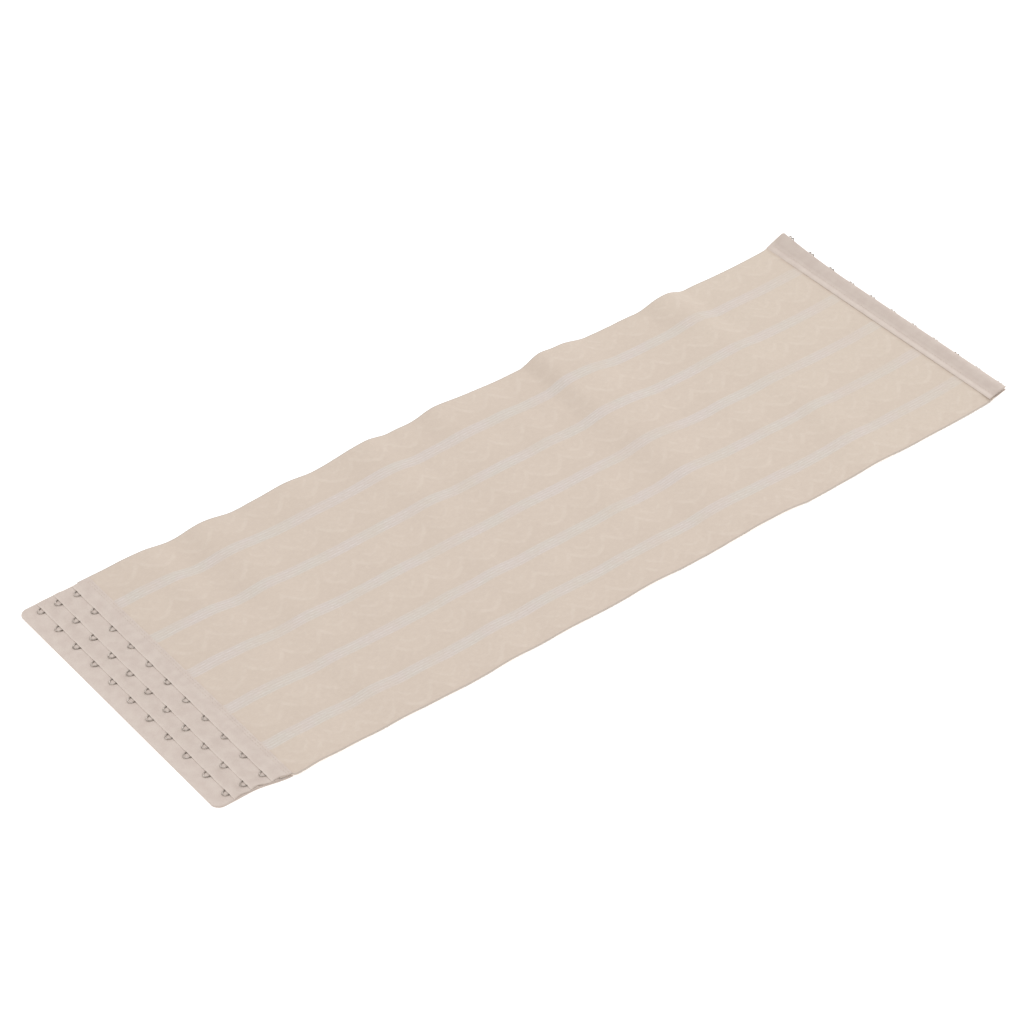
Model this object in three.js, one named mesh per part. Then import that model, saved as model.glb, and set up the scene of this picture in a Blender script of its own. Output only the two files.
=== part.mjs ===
// Abdominal binder: a wide band of woven elastic with an eye tape at one end and a hook tape at the other,
// lying open and flat. Millimetres, +Z up. The eye tape is at -X, the hook tape at +X, the far edge at +Y,
// and the origin is at the middle of the surface that the binder lies on.
import * as THREE from "three";

// Hook-and-eye closure
const rowPitch = 19.05;
const rowCount = 11;
const columnPitch = 12.7;
const columnNames = ["outer", "middle", "inner"];
const wireDiameter = 0.9;
const wireSides = 5;
const gap = 0.3;

// Eye tape: a base with three flaps, each of which covers the legs of a column of eyes
const eyeTapeWidth = 49.8;
const eyeOuterMargin = 10.3;
const eyeFarMargin = 9.5;
const eyeNearMargin = 5.9;
const eyeTapeOverhang = 3.0;
const slantFrom = 24.0;
const slantSteps = 4;
const tapeCornerRadius = 5.0;
const baseThickness = 1.0;
const flapThickness = 0.8;
const lipBehindEye = 1.3;
const legCover = 4.8;
const lipSlope = 2.0;

// Eyes: a wire arch whose two legs run in under a flap. An eye stands proud of the flap's lip by eyeProud.
const eyeWidth = 6.3;
const eyeProud = 3.7;
const archSegments = 7;

// Panel: woven elastic with raised lengthwise stripes
const panelShown = 532.0;
const panelWidth = 207.0;
const panelThickness = 1.2;
const panelNarrowing = 2.5;
const narrowingFrom = 0.6;
const stripeCount = 5;
const stripePitch = 37.0;
const stripeWidth = 9.5;
const stripeFromFarEdge = 30.7;
const stripeRise = 0.3;
const stripeShoulder = 1.2;
const eyeEndSettle = 60.0;
const hookEndSettle = 25.0;
const foldFade = 22.0;
const endSkew = 9.0;
const skewFrom = 0.5;
const widestPanelStep = 16.0;
const leastPanelStep = 4.0;

// Folds of the panel, in millimetres: at is the crest's place past the eye tape, left and right are the
// lengths of its flanks, far and near are its heights at the two edges, and reach is how far in from the
// far edge it fades.
const folds = [
  { at: 36, left: 21, right: 19, far: 2.8, near: 1.0, reach: 150 },
  { at: 78, left: 21, right: 22, far: 3.5, near: 0.5, reach: 90 },
  { at: 140, left: 22, right: 22, far: 2.1, near: 0.1, reach: 45 },
  { at: 202, left: 40, right: 19, far: 3.9, near: 0.4, reach: 90 },
  { at: 256, left: 20, right: 42, far: 4.3, near: 0.5, reach: 65 },
  { at: 342, left: 20, right: 36, far: 5.8, near: 1.6, reach: 170 },
  { at: 441, left: 21, right: 17, far: 4.5, near: 0.9, reach: 110 },
];

// Hook tape: two layers that hold the panel's end and the shanks of the hooks
const hookTapeWidth = 13.2;
const hookTapeThickness = 0.8;
const hookFarMargin = 6.2;
const hookNearMargin = 7.8;
const foldRoll = 0.4;
const foldRollWidth = 3.0;
const panelTuck = 4.0;
const cornerLift = 4.0;
const cornerLiftFrom = 0.7;
const flatSteps = 4;
const cornerSteps = 8;

// Hooks: one wire doubled, with a shank in the tape, a bend past its edge and a bill under it. The bill
// closes on the tape towards its tip, so that it lies flat on the surface while the tape slopes up over it.
const hookWireSpacing = 1.9;
const shankLength = 8.0;
const bendClearance = 1.2;
const billLength = 4.5;
const billGap = 1.3;
const bendSegments = 5;
const tipSegments = 3;

// Values worked out from the ones above
const wireRadius = wireDiameter / 2;
const rowSpan = rowPitch * (rowCount - 1);
const farEyeRow = panelWidth + eyeTapeOverhang - eyeFarMargin;
const nearEyeRow = farEyeRow - rowSpan;
const eyeTapeNear = nearEyeRow - eyeNearMargin;
const eyeTapeFar = farEyeRow + eyeFarMargin;
const flapRest = baseThickness + gap;
const wireStack = 2 * gap + wireDiameter;
const columnX = (column) => eyeOuterMargin + column * columnPitch;
const lipX = (column) => columnX(column) + lipBehindEye;
const floorUnderEye = (column) => (column === 0 ? baseThickness : flapRest + flapThickness);
const lastColumn = columnNames.length - 1;
const panelStart = lipX(lastColumn) + legCover + gap;
const seamMiddle = eyeTapeWidth + panelShown;
const panelEnd = seamMiddle + panelTuck;
const hookStand = wireDiameter + billGap;
const hookTapeFar = panelWidth - panelNarrowing;
const panelSeams = [eyeTapeWidth, seamMiddle];
const farHookRow = hookTapeFar - hookFarMargin;
const hookRowPitch = (farHookRow - hookNearMargin) / (rowCount - 1);

const fabric = (color) => new THREE.MeshStandardMaterial({ color, roughness: 0.9, metalness: 0 });
const elastic = fabric(0xd9cabd);
const tapeCloth = fabric(0xcfc2b8);
const wire = new THREE.MeshStandardMaterial({ color: 0x8f8a86, roughness: 0.35, metalness: 1 });

const clamp = (t) => Math.min(1, Math.max(0, t));
const smooth = (t) => clamp(t) ** 2 * (3 - 2 * clamp(t));
const mix = (a, b, t) => a + (b - a) * t;
const crest = (t) => (Math.abs(t) < 1 ? Math.cos((t * Math.PI) / 2) ** 2 : 0);

// A closed sheet on a grid of lines: under(a, b) is a point of its underside, thickness(a, b) its height.
function sheet(name, material, acrossX, acrossY, under, thickness) {
  const stepsX = acrossX.length - 1;
  const stepsY = acrossY.length - 1;
  const geometry = new THREE.BoxGeometry(1, 1, 1, stepsX, stepsY, 1);
  const place = geometry.getAttribute("position");
  for (let i = 0; i < place.count; i++) {
    const a = acrossX[Math.round((place.getX(i) + 0.5) * stepsX)];
    const b = acrossY[Math.round((place.getY(i) + 0.5) * stepsY)];
    const [x, y, z] = under(a, b);
    place.setXYZ(i, x, y, place.getZ(i) > 0 ? z + thickness(a, b) : z);
  }
  geometry.computeVertexNormals();
  const mesh = new THREE.Mesh(geometry, material);
  mesh.name = name;
  return mesh;
}

// A round wire through a list of points, with a mitred ring of vertices at each and flat caps at the ends.
function wireMesh(name, points) {
  const rings = [];
  const along = points.map((_, i) => {
    const before = points[Math.max(i - 1, 0)];
    const after = points[Math.min(i + 1, points.length - 1)];
    return after.clone().sub(before).normalize();
  });
  const side = new THREE.Vector3(0, 0, 1).projectOnPlane(along[0]).normalize();
  points.forEach((point, i) => {
    if (i > 0) {
      const turn = new THREE.Quaternion().setFromUnitVectors(along[i - 1], along[i]);
      side.applyQuaternion(turn);
    }
    const other = along[i].clone().cross(side);
    const ring = [];
    for (let k = 0; k < wireSides; k++) {
      const angle = (2 * Math.PI * k) / wireSides;
      const offset = side.clone().multiplyScalar(wireRadius * Math.cos(angle));
      ring.push(offset.addScaledVector(other, wireRadius * Math.sin(angle)).add(point));
    }
    rings.push(ring);
  });
  const faces = [];
  for (let i = 1; i < rings.length; i++) {
    for (let k = 0; k < wireSides; k++) {
      const next = (k + 1) % wireSides;
      const [a, b, c, d] = [rings[i - 1][k], rings[i - 1][next], rings[i][next], rings[i][k]];
      faces.push(a, b, c, a, c, d);
    }
  }
  const first = rings[0];
  const last = rings[rings.length - 1];
  for (let k = 1; k + 1 < wireSides; k++) {
    faces.push(first[0], first[k + 1], first[k]);
    faces.push(last[0], last[k], last[k + 1]);
  }
  const geometry = new THREE.BufferGeometry().setFromPoints(faces);
  geometry.computeVertexNormals();
  const mesh = new THREE.Mesh(geometry, wire);
  mesh.name = name;
  return mesh;
}

const evenly = (from, to, steps) => Array.from({ length: steps + 1 }, (_, i) => mix(from, to, i / steps));

// Eye tape: its near end slants out to the panel's near edge
const tapeNearEnd = (x) => eyeTapeNear * (1 - smooth((x - slantFrom) / (eyeTapeWidth - slantFrom)));

function eyeTapeBase() {
  const arc = evenly(0, Math.PI / 2, 5).map((angle) => tapeCornerRadius * (1 - Math.cos(angle)));
  const under = (x, v) => {
    const run = Math.min(x / tapeCornerRadius, 1);
    const inset = tapeCornerRadius * (1 - Math.sqrt(1 - (1 - run) ** 2));
    return [x, mix(tapeNearEnd(x) + inset, eyeTapeFar - inset, v), 0];
  };
  const lines = [...arc, ...evenly(slantFrom, eyeTapeWidth, slantSteps)];
  return sheet("eye_tape_base", tapeCloth, lines, [0, 1], under, () => baseThickness);
}

// A flap starts as a lip over the eyes' legs, slopes down behind them and ends under the next flap's lip.
// The last one comes down on the panel's end and stops at the tape's inner edge.
function eyeFlap(column) {
  const isLast = column === lastColumn;
  const start = lipX(column);
  const lipHeight = floorUnderEye(column) + wireStack;
  const restHeight = isLast ? flapRest + panelThickness + gap : flapRest;
  const end = isLast ? eyeTapeWidth : lipX(column + 1) + legCover;
  const slopeStart = start + legCover + gap;
  const under = (x, v) => {
    const z = mix(lipHeight, restHeight, clamp((x - slopeStart) / lipSlope));
    return [x, mix(tapeNearEnd(x), eyeTapeFar, v), z];
  };
  const lines = [start, slopeStart, slopeStart + lipSlope, end];
  return sheet("eye_flap_" + columnNames[column], tapeCloth, lines, [0, 1], under, () => flapThickness);
}

function eye(column, row) {
  const x = columnX(column);
  const y = farEyeRow - row * rowPitch;
  const z = floorUnderEye(column) + gap + wireRadius;
  const halfWidth = eyeWidth / 2 - wireRadius;
  const reach = eyeProud - lipBehindEye - wireRadius;
  const legEnd = lipX(column) + legCover - gap;
  const arch = evenly(-Math.PI / 2, Math.PI / 2, archSegments).map(
    (angle) => new THREE.Vector3(x - reach * Math.cos(angle), y + halfWidth * Math.sin(angle), z),
  );
  const near = new THREE.Vector3(legEnd, y - halfWidth, z);
  const far = new THREE.Vector3(legEnd, y + halfWidth, z);
  const number = String(row + 1).padStart(2, "0");
  return wireMesh("eye_" + columnNames[column] + "_" + number, [near, ...arch, far]);
}

// Hook tape: u runs from its seam on the panel to its outer edge, w from the near edge to the far edge
const tapeY = (w) => w * hookTapeFar;
const seamX = (w) => seamMiddle + endSkew * (0.5 - w);
const cornerRise = (w) => cornerLift * clamp((w - cornerLiftFrom) / (1 - cornerLiftFrom)) ** 2;
const tapeRise = (u, w) => u * (hookStand + cornerRise(w));
const tuckEnd = (panelTuck + gap) / hookTapeWidth;
const shankStart = 1 - shankLength / hookTapeWidth;
const tapeLines = [
  ...evenly(0, cornerLiftFrom, flatSteps),
  ...evenly(cornerLiftFrom, 1, cornerSteps).slice(1),
];

function hookTapeUnder() {
  const under = (u, w) => [seamX(w) + u * hookTapeWidth, tapeY(w), tapeRise(u, w)];
  const lines = [0, tuckEnd, mix(tuckEnd, 1, 0.5), 1];
  return sheet("hook_tape_under", tapeCloth, lines, tapeLines, under, () => hookTapeThickness);
}

function hookTapeTop() {
  const overPanel = hookTapeThickness + gap + panelThickness + gap;
  const overWire = hookTapeThickness + wireStack;
  const rollEnd = foldRollWidth / hookTapeWidth;
  const under = (u, w) => {
    const lift = mix(overPanel, overWire, clamp((u - tuckEnd) / (shankStart - tuckEnd)));
    return [seamX(w) + u * hookTapeWidth, tapeY(w), tapeRise(u, w) + lift];
  };
  const roll = (u) => foldRoll * Math.sin(Math.PI * clamp((u / rollEnd) * 0.8 + 0.2));
  const lines = [0, rollEnd * 0.25, rollEnd * 0.6, rollEnd, tuckEnd, shankStart, mix(shankStart, 1, 0.5), 1];
  const thickness = (u) => hookTapeThickness + roll(u);
  return sheet("hook_tape_top", tapeCloth, lines, tapeLines, under, thickness);
}

function hook(row) {
  const y = farHookRow - row * hookRowPitch;
  const w = y / hookTapeFar;
  const edge = seamX(w) + hookTapeWidth;
  const slope = (hookStand + cornerRise(w)) / hookTapeWidth;
  const billClosing = hookStand / hookTapeWidth;
  const shankZ = hookTapeThickness + gap + wireRadius;
  const billZ = -(billGap + wireRadius);
  const bend = (shankZ - billZ) / 2;
  const half = hookWireSpacing / 2;
  const onTape = (out, side, up) => new THREE.Vector3(
    edge + out,
    y + side,
    hookStand + cornerRise(w) + out * slope + up,
  );
  const strand = (side) => [
    onTape(-shankLength, side, shankZ),
    ...evenly(0, Math.PI, bendSegments).map((angle) =>
      onTape(bendClearance + bend * Math.sin(angle), side, billZ + bend + bend * Math.cos(angle)),
    ),
    onTape(-billLength, side, billZ + billLength * billClosing),
  ];
  const tip = evenly(0, Math.PI, tipSegments + 1).slice(1, -1).map((angle) => {
    const reach = billLength + half * Math.sin(angle);
    return onTape(-reach, half * Math.cos(angle), billZ + reach * billClosing);
  });
  const number = String(row + 1).padStart(2, "0");
  return wireMesh("hook_" + number, [...strand(half), ...tip, ...strand(-half).reverse()]);
}

// Panel: x runs along the shown length, w across it from the near edge to the far edge
const shownShare = (x) => (x - eyeTapeWidth) / panelShown;
const widening = (x) => eyeTapeOverhang * (1 - smooth((x - eyeTapeWidth) / eyeEndSettle));
const narrowing = (x) => panelNarrowing * smooth((shownShare(x) - narrowingFrom) / (1 - narrowingFrom));

function foldHeight(x, w) {
  const fromTape = Math.min(x - eyeTapeWidth, seamMiddle - x);
  const fromFarEdge = (1 - w) * panelWidth;
  return smooth(fromTape / foldFade) * folds.reduce((height, { at, left, right, far, near, reach }) => {
    const run = x - eyeTapeWidth - at;
    const lift = mix(far, near, clamp(fromFarEdge / reach));
    return height + lift * crest(run / (run < 0 ? left : right));
  }, 0);
}

function panelUnderside(x, w) {
  const onBase = flapRest * (1 - smooth((x - eyeTapeWidth) / eyeEndSettle));
  const overTape = (hookTapeThickness + gap) * smooth((x - seamMiddle + hookEndSettle) / hookEndSettle);
  const rise = tapeRise(Math.max(0, (x - seamMiddle) / hookTapeWidth), w);
  return onBase + overTape + rise + foldHeight(x, w);
}

const stripeCentre = (j) => panelWidth - stripeFromFarEdge - j * stripePitch;

// Lines across the panel: at each fold's crest, half-way down and at the foot of its flanks, and between
// them where they are far apart
function panelLines() {
  const marks = folds.flatMap(({ at, left, right }) => {
    const crestX = eyeTapeWidth + at;
    return [crestX - left, crestX - left / 2, crestX, crestX + right / 2, crestX + right];
  });
  const places = [...marks, ...panelSeams].sort((a, b) => a - b);
  const apart = places.filter((x, i) => i === 0 || x === seamMiddle || x - places[i - 1] > leastPanelStep);
  const between = apart.flatMap((x, i) => {
    const next = apart[i + 1] ?? x;
    return evenly(x, next, Math.ceil((next - x) / widestPanelStep) || 1).slice(0, -1);
  });
  return [...between, seamMiddle];
}

function panel() {
  const xLines = [panelStart, ...panelLines(), panelEnd];
  const shoulders = [-stripeWidth / 2, stripeShoulder - stripeWidth / 2];
  const yLines = [0, panelWidth];
  for (let j = 0; j < stripeCount; j++) {
    for (const shoulder of shoulders) {
      yLines.push(stripeCentre(j) + shoulder, stripeCentre(j) - shoulder);
    }
    yLines.push(stripeCentre(j) + stripePitch / 2);
  }
  yLines.push(stripeCentre(stripeCount - 1) - stripePitch / 2);
  yLines.sort((a, b) => a - b);
  const under = (x, y) => {
    const w = y / panelWidth;
    const skew = endSkew * (0.5 - w) * smooth((shownShare(x) - skewFrom) / (1 - skewFrom));
    return [x + skew, w * (panelWidth + widening(x) - narrowing(x)), panelUnderside(x, w)];
  };
  const thickness = (x, y) => {
    const free = smooth(Math.min(x - eyeTapeWidth, seamMiddle - x) / hookEndSettle);
    const inStripe = Array.from({ length: stripeCount }, (_, j) => Math.abs(y - stripeCentre(j)))
      .some((distance) => distance < stripeWidth / 2 - stripeShoulder / 2);
    return panelThickness + (inStripe ? stripeRise * free : 0);
  };
  return sheet("panel", elastic, xLines, yLines, under, thickness);
}

const belt = new THREE.Group();
belt.add(eyeTapeBase());
for (let column = 0; column <= lastColumn; column++) {
  belt.add(eyeFlap(column));
  for (let row = 0; row < rowCount; row++) {
    belt.add(eye(column, row));
  }
}
belt.add(panel());
belt.add(hookTapeUnder());
belt.add(hookTapeTop());
for (let row = 0; row < rowCount; row++) {
  belt.add(hook(row));
}

// The origin goes to the middle of the binder's box, on the surface that it lies on.
const box = new THREE.Box3().setFromObject(belt);
const middle = box.getCenter(new THREE.Vector3());
belt.position.set(-middle.x, -middle.y, -box.min.z);

const binder = new THREE.Group();
binder.add(belt);
export default binder;
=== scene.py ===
"""Looks of an abdominal binder that lies open: woven elastic, sewn tapes, wire eyes and hooks."""

import math
import random

import bpy
import numpy as np
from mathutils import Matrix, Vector
from mathutils.bvhtree import BVHTree


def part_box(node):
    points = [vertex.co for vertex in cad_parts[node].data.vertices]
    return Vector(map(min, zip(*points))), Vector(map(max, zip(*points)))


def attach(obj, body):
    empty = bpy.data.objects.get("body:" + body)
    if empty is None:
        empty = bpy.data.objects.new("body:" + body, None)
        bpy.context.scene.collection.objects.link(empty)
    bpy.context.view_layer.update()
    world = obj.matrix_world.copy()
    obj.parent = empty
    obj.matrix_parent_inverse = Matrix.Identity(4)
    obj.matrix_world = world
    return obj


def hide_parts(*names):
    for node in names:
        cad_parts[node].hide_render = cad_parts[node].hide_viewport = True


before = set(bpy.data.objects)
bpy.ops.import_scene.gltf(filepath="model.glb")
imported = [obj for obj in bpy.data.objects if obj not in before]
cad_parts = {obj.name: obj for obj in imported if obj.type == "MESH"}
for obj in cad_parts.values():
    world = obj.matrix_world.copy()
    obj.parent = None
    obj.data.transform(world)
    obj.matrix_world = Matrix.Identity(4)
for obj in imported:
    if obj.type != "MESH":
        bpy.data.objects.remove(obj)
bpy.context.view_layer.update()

MM = 0.001
COLUMNS = ("outer", "middle", "inner")
ROWS = 11

# Places in millimetres from the eye tape's outer edge and the panel's near edge, on the floor
base_low, base_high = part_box("eye_tape_base")
panel_low, panel_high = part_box("panel")
ORIGIN = np.array([base_low.x, panel_low.y, 0.0])
EYE_TAPE_WIDTH = (base_high.x - base_low.x) / MM
EYE_TAPE_FAR = (base_high.y - ORIGIN[1]) / MM
EYE_TAPE_NEAR = 4.1
SLANT_FROM = 24.0

# Panel
PANEL_WIDTH = 207.0
EDGE_DRAW_IN = 0.3
NEAR_EDGE_OUT = 1.3
EYE_END_WIDENING = 3.3
PANEL_SHOWN = 532.0
PANEL_NARROWING = 2.5
NARROWING_FROM = 0.6
END_SKEW = 9.0
SKEW_FROM = 0.5
PANEL_TUCK = 4.0
PANEL_UNDER_FLAP = 7.6
# Under the flap the panel's end lies further in than the tape's near end, and comes out over a short reach
HIDDEN_END_IN = 1.3
HIDDEN_END_FROM = 2.0
HIDDEN_END_REACH = 3.5
PANEL_THICKNESS = 1.0
SEAM = EYE_TAPE_WIDTH + PANEL_SHOWN
PANEL_STEPS_ALONG = 340
PANEL_STEPS_ACROSS = 240
UNDERSIDE_COARSER = 4
EYE_END_SETTLE = 60.0
BASE_STEP_REACH = 45.0
FOLD_FADE = 22.0
HOOK_END_FROM = SEAM - 75.0
HOOK_END_BLEND = 40.0

# Where the near edge lies further out or in: the middle along, the reach, and how far out
NEAR_EDGE_WAVES = ((168.0, 52.0, 0.9), (434.0, 42.0, 0.6), (603.0, 52.0, -1.4))
# Folds across the panel: where the crest is, how far its left and right flanks reach, its height at the
# far and the near edge, and how far in from the far edge its height fades
FOLDS = (
    (85.8, 40.0, 19.0, 2.8, 1.0, 150.0),
    (107.0, 20.0, 20.0, 1.0, 0.0, 22.0),
    (128.0, 25.0, 29.0, 3.3, 0.5, 110.0),
    (189.8, 22.0, 22.0, 2.1, 0.1, 45.0),
    (251.8, 45.0, 19.0, 3.9, 0.4, 90.0),
    (276.0, 22.0, 22.0, 0.8, 0.0, 40.0),
    (308.0, 26.0, 44.0, 4.0, 0.5, 42.0),
    (391.8, 20.0, 36.0, 5.2, 1.8, 170.0),
    (411.0, 14.0, 18.0, 1.6, 0.0, 70.0),
    (495.6, 28.0, 16.5, 4.5, 0.6, 105.0),
)
# How much wider the flanks are where the height has faded
FLANK_SPREAD = 0.5
# Creases on the folds' flanks: place along and across from the far edge, reach, and depth
CREASES = (
    (116.5, 10.0, 7.0, 0.5),
    (295.0, 13.0, 7.0, 0.5),
    (382.0, 12.0, 8.0, 0.9),
    (381.0, 48.0, 7.0, 0.6),
    (479.0, 11.0, 7.0, 0.6),
    (77.0, 52.0, 8.0, 0.4),
    (74.0, 160.0, 10.0, 0.5),
    (120.0, 165.0, 9.0, 0.4),
    (384.0, 150.0, 9.0, 0.5),
    (388.0, 196.0, 8.0, 0.5),
    (362.0, 88.0, 9.0, 0.4),
    (315.0, 100.0, 9.0, 0.3),
    (368.0, 98.0, 12.0, -0.5),
)
# The cloth's small waves: how many, their seed, lengths and turns, and what lifts them clear of the floor
RIPPLES = 14
RIPPLE_SEED = 11
RIPPLE_LENGTHS = (26, 75)
RIPPLE_TURN = 0.45
RIPPLE_LIFT = 1.4
RIPPLE_HEIGHT = 0.11

# Stripes and jacquard bands, measured from the far edge
STRIPE_PITCH = 36.95
STRIPE_WIDTH = 8.2
FIRST_STRIPE = 30.85
STRIPE_RISE = 0.12
STRIPE_EDGE = 0.4
RIB_PITCH = 1.9
RIB_RISE = 0.14
SCALLOP_PITCH = 26.3
SCALLOP_PHASE = 12.1
SCALLOP_BOTTOM = 25.0
SCALLOP_DEPTH = 11.2
SCALLOP_POWER = 1.8
SCALLOP_LINE = 2.6
GARLAND_BOTTOM = 16.0
GARLAND_DEPTH = 5.4
GARLAND_WIDTH = 13.4
GARLAND_POWER = 1.4
GARLAND_LINE = 1.8
MOTIF_RISE = 0.04
MOTIF_SOFTNESS = 0.5
MOTIF_TIP = 1.08
# Width of the shade painted along the far edge, where the cloth rolls down
EDGE_SHADE_WIDTH = 0.8
# The relief is pressed flat where the panel is sewn, and at its edges
RELIEF_FADE = 12.0
RELIEF_AT_ENDS = 0.25
RELIEF_FROM_EDGE = 1.5

# Eye tape
BASE_THICKNESS = 0.9
BASE_EDGE = 0.4
BASE_CORNER = 6.0
FLAP_THICKNESS = 0.5
# The most that a rounded edge takes of a layer's thickness
EDGE_SHARE = 0.48
# How much shade is painted on a layer at its near end, and how far in
NEAR_END_SHADE = 1.1
NEAR_END_REACH = 0.8
# How much thinner each flap is at its pressed lip
LIP_PRESSED = {"outer": 0.33, "middle": 0.38, "inner": 0.3}
# How far each flap's lip lies further in than in the CAD, its eyes further in and up the tape, and how the
# lips lean
LIP_SHIFT = {"outer": 1.2, "middle": 0.15, "inner": 0.35}
EYE_SHIFT = {"outer": (0.35, 1.5), "middle": (-0.65, 1.0), "inner": (0.05, 0.7)}
LIP_LEAN = 0.5
LIP_LEAN_REACH = 5.0
LIP_RISE = 0.12
LIP_RISE_AT = 0.7
LIP_PRESSED_REACH = 2.5
# A flap's near end bows in: how far, at what distance from its lip, and over what reach
BOW_IN = 0.9
BOW_AT = 5.0
BOW_REACH = 3.5
# How far in from the base's near and far ends each flap ends
FLAP_INSETS = {"outer": (0.3, 0.5), "middle": (0.5, 0.8), "inner": (0.8, 1.1)}
TOUCH = 0.03
EYE_WIRE = 0.7
LIP_FROM_APEX = 3.7
EYE_REACH = 3.0
EYE_NARROWING = 0.76
EYE_FLARE = 0.1
EYE_ARCH_POINTS = 9
EYE_LEGS = 4.0
# How far apart the legs are halfway along and at their ends, as shares of the arch
LEG_SPREAD_HALFWAY = 1.15
LEG_SPREAD_END = 1.2
# The legs sink into the layer below where they pass under the lip
LEGS_SINK = 0.35
LEGS_SINK_BEFORE = 0.6
LEGS_SINK_REACH = 1.2
# How unevenly the eyes are sewn on: inward, along the tape, and turned
EYE_SCATTER = (0.16, 0.12, 0.07)
# Behind its apex shade is painted on an eye's wire, darkening it over a reach towards the lip
DARKENING_FROM = 1.2
DARKENING_REACH = 1.8
# How much the hooks' wire is darkened, evenly all over
HOOK_DARKENING = 0.5
WIRE_SIDES = 12
# Where the eyes' legs are sewn down through the flap: how far in from its lip, and the dimple's size
DIMPLE_IN = 5.8
DIMPLE_REACH = 2.2
DIMPLE_DEPTH = 0.14
# The cloths are laid on a grid, in a few rounds of touching and bridging, and clear each wire a little
DRAPE_STEP = 0.5
DRAPE_ROUNDS = 3
FLAP_STIFFNESS = 2.2
WIRE_MARGIN = 0.15
EYE_SURROUND = 8

# Hook tape
HOOK_TAPE_WIDTH = 14.4
HOOK_TAPE_CAD_WIDTH = 13.2
HOOK_TAPE_SLANT = 1.1
HOOK_TAPE_SLANT_FADE = 6.0
HOOK_TAPE_SLANT_AT_SEAM = 0.4
HOOK_TAPE_THICKNESS = 0.8
HOOK_TOP_EDGE = 0.4
HOOK_UNDER_EDGE = 0.35
LIP_SINK = 0.9
LIP_SINK_UNDER = 0.35
LIP_SINK_REACH = 8.0
OUTER_CORNER = 2.0
HOOK_CAD_WIRE = 0.9
HOOK_WIRE = 0.8
GAP = 0.3
# How far past the tape's edge the bends start: the first hooks stand out a little more
BEND_CLEARANCE = (1.0, 0.9, 0.9, 0.6, 0.6, 0.5, 0.5, 0.4, 0.5, 0.3, 0.2)
BILL_GAP = 1.3
CORNER_LIFT = 4.0
CORNER_LIFT_FROM = 0.7
HOOK_WIRE_SPACING = 2.6
SHANK = 8.0
SHANK_END = 0.8
BEND_POINTS = 9
BILL = 4.5
BILL_START = 1.0
BILL_TIP_POINTS = 7

# Stitches: their pitch and length, how high a thread stands and how deep its ends dip, in its radii
STITCH_PITCH = 2.5
STITCH_LENGTH = 2.0
STITCH_POINTS = 7
STITCH_TOP = 0.75
STITCH_DIP = 1.9
THREAD_SIDES = 6
# Rows on the inner flap and on the hook tape: how far in from the edge, where they end, and the thread
FLAP_ROWS = (1.3, 3.0)
FLAP_ROW_ENDS = (1.5, 1.8)
FLAP_THREAD = 0.11
HOOK_ROW = 3.9
HOOK_ROW_ENDS = (1.5, 1.5)
HOOK_THREAD = 0.09


def smooth(t):
    t = np.clip(t, 0.0, 1.0)
    return t * t * (3.0 - 2.0 * t)


def rise(value, start, reach):
    """0 up to start and 1 past the reach, smoothly between them."""
    return smooth((value - start) / reach)


def bell(value, middle, reach):
    """1 at the middle, fading on both sides."""
    return np.exp(-(((value - middle) / reach) ** 2))


def eye_tape_slant(x):
    """How far in the eye tape's near end lies from the panel's near edge."""
    return EYE_TAPE_NEAR * (1 - smooth((x - SLANT_FROM) / (EYE_TAPE_WIDTH - SLANT_FROM)))


def shown_share(x):
    return (x - EYE_TAPE_WIDTH) / PANEL_SHOWN


def row_frame(x, y, z):
    """Millimetres from the binder's corner to metres in the row frame."""
    return np.stack([x, y, z], -1) * MM + ORIGIN


# Meshes
def new_object(name, vertices, faces, smooth_shaded=True):
    mesh = bpy.data.meshes.new(name)
    mesh.from_pydata([tuple(v) for v in vertices], [], [tuple(f) for f in faces])
    mesh.validate()
    mesh.update()
    if smooth_shaded:
        mesh.shade_smooth()
    thing = bpy.data.objects.new(name, mesh)
    bpy.context.scene.collection.objects.link(thing)
    return thing


def grid_faces(rows, columns, start, flip):
    """Quads of a grid whose vertices run row by row from start."""
    index = start + np.arange(rows * columns).reshape(rows, columns)
    quads = np.stack([index[:-1, :-1], index[:-1, 1:], index[1:, 1:], index[1:, :-1]], -1).reshape(-1, 4)
    return quads[:, ::-1] if flip else quads


def rim_faces(fine, coarse, step):
    """Joins a fine edge line of the top to the underside's line, which has every step-th point."""
    faces = []
    for k in range(len(coarse) - 1):
        run = fine[k * step : (k + 1) * step + 1]
        half = step // 2
        faces += [(coarse[k], run[i], run[i + 1]) for i in range(half)]
        faces.append((coarse[k], run[half], coarse[k + 1]))
        faces += [(coarse[k + 1], run[i], run[i + 1]) for i in range(half, step)]
    return faces


def closed_sheet(name, top, under, step=1):
    """A closed cloth from a grid of top points and an underside grid that is step times coarser."""
    rows, columns = top.shape[:2]
    under_rows, under_columns = under.shape[:2]
    count = rows * columns
    high = np.arange(count).reshape(rows, columns)
    low = count + np.arange(under_rows * under_columns).reshape(under_rows, under_columns)
    faces = [*grid_faces(rows, columns, 0, False), *grid_faces(under_rows, under_columns, count, True)]
    faces += rim_faces(high[0, ::-1], low[0, ::-1], step)
    faces += rim_faces(high[-1], low[-1], step)
    faces += rim_faces(high[:, 0], low[:, 0], step)
    faces += rim_faces(high[::-1, -1], low[::-1, -1], step)
    vertices = np.concatenate([top.reshape(-1, 3), under.reshape(-1, 3)])
    return new_object(name, vertices, faces)


def keep_cloth_place(thing, place):
    """Keeps each vertex's place on the flat cloth, in millimetres, for the weave."""
    layer = thing.data.attributes.new("cloth", "FLOAT_VECTOR", "POINT")
    layer.data.foreach_set("vector", place.astype(np.float32).ravel())


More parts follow.
